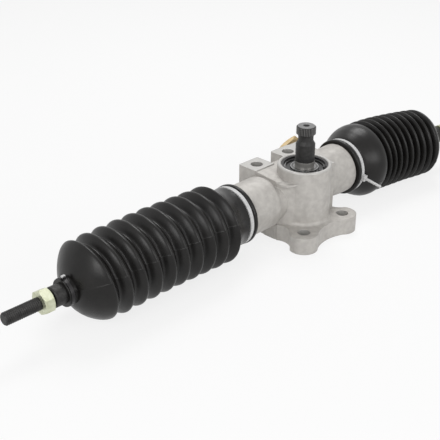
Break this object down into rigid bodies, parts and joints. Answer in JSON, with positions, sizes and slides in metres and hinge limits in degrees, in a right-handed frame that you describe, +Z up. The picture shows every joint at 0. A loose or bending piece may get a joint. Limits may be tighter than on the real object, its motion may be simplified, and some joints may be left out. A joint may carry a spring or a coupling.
{
  "type": "steering rack",
  "caption": "Short manual rack-and-pinion steering gear with a splined input shaft, a foot-mounted cast housing, rubber bellows boots and threaded tie rod ends.",
  "frame": {"origin": "on the pinion axis, at the bottom face of the housing's mounting flange", "axes": "+Z up the pinion shaft, X along the rack bar with the rack bar behind the pinion at +Y"},
  "size_m": [0.5362, 0.0985, 0.098],
  "materials": {
    "cast_aluminium": "cast, matte",
    "boot_rubber": "satin",
    "tie_nylon": "satin",
    "bush_plastic": "matte",
    "bush_bronze": "sintered",
    "dark_steel": "phosphated",
    "bright_steel": "ground",
    "bearing_steel": "polished",
    "spring_steel": "oiled",
    "zinc_steel": "zinc plated",
    "yellow_zinc": "yellow zinc plated",
    "seat_nylon": "greased"
  },
  "bodies": {
    "housing": {"rack_housing": "cast_aluminium", "lower_bush": "bush_bronze", "bearing_outer_ring": "bearing_steel", "bearing_circlip": "dark_steel", "rack_bush_left": "bush_plastic", "rack_bush_right": "bush_plastic", "guide_yoke": "cast_aluminium", "guide_spring": "spring_steel", "guide_plug": "bright_steel", "guide_lock_nut": "yellow_zinc", "boot_left": "boot_rubber", "boot_right": "boot_rubber", "boot_tie_left": "tie_nylon", "boot_tie_right": "tie_nylon"},
    "rack": {"rack_bar": "bright_steel", "ball_socket_left": "dark_steel", "ball_socket_right": "dark_steel"},
    "seat_left": {"ball_seat_left": "seat_nylon"},
    "seat_right": {"ball_seat_right": "seat_nylon"},
    "tie_rod_left": {"tie_rod_left": "dark_steel", "jam_nut_left": "zinc_steel", "boot_clip_left": "bright_steel"},
    "tie_rod_right": {"tie_rod_right": "dark_steel", "jam_nut_right": "zinc_steel", "boot_clip_right": "bright_steel"},
    "pinion": {"pinion_shaft": "dark_steel", "bearing_inner_ring": "bearing_steel"},
    "bearing_cage": {"bearing_cage": "bush_plastic", "bearing_balls": "bearing_steel"}
  },
  "joints": [
    {"name": "rack_slide", "type": "slide", "parent": "housing", "child": "rack", "axis": [1, 0, 0], "range_m": [-0.012, 0.06], "deforming": ["boot_left", "boot_right"]},
    {"name": "pinion_turn", "type": "hinge", "parent": "housing", "child": "pinion", "pos_m": [0, 0, 0.055], "axis": [0, 0, 1], "range_deg": [-492, 99]},
    {"name": "bearing_cage_turn", "type": "hinge", "parent": "housing", "child": "bearing_cage", "pos_m": [0, 0, 0.055], "axis": [0, 0, 1], "range_deg": [-190, 40]},
    {"name": "tie_swing_left", "type": "hinge", "parent": "rack", "child": "seat_left", "pos_m": [-0.152, 0.016, 0.0335], "axis": [0, 0, 1], "range_deg": [-18, 18], "deforming": ["boot_left"]},
    {"name": "tie_lift_left", "type": "hinge", "parent": "seat_left", "child": "tie_rod_left", "pos_m": [-0.152, 0.016, 0.0335], "axis": [0, 1, 0], "range_deg": [-18, 18], "deforming": ["boot_left"]},
    {"name": "tie_swing_right", "type": "hinge", "parent": "rack", "child": "seat_right", "pos_m": [0.104, 0.016, 0.0335], "axis": [0, 0, 1], "range_deg": [-7, 29], "deforming": ["boot_right"]},
    {"name": "tie_lift_right", "type": "hinge", "parent": "seat_right", "child": "tie_rod_right", "pos_m": [0.104, 0.016, 0.0335], "axis": [0.1908, 0.9816, 0], "range_deg": [-18, 18], "deforming": ["boot_right"]}
  ],
  "couplings": [
    {"joint": "pinion_turn", "follows": "rack_slide", "rad_per_m": -142.86},
    {"joint": "bearing_cage_turn", "follows": "rack_slide", "rad_per_m": -54.571}
  ]
}
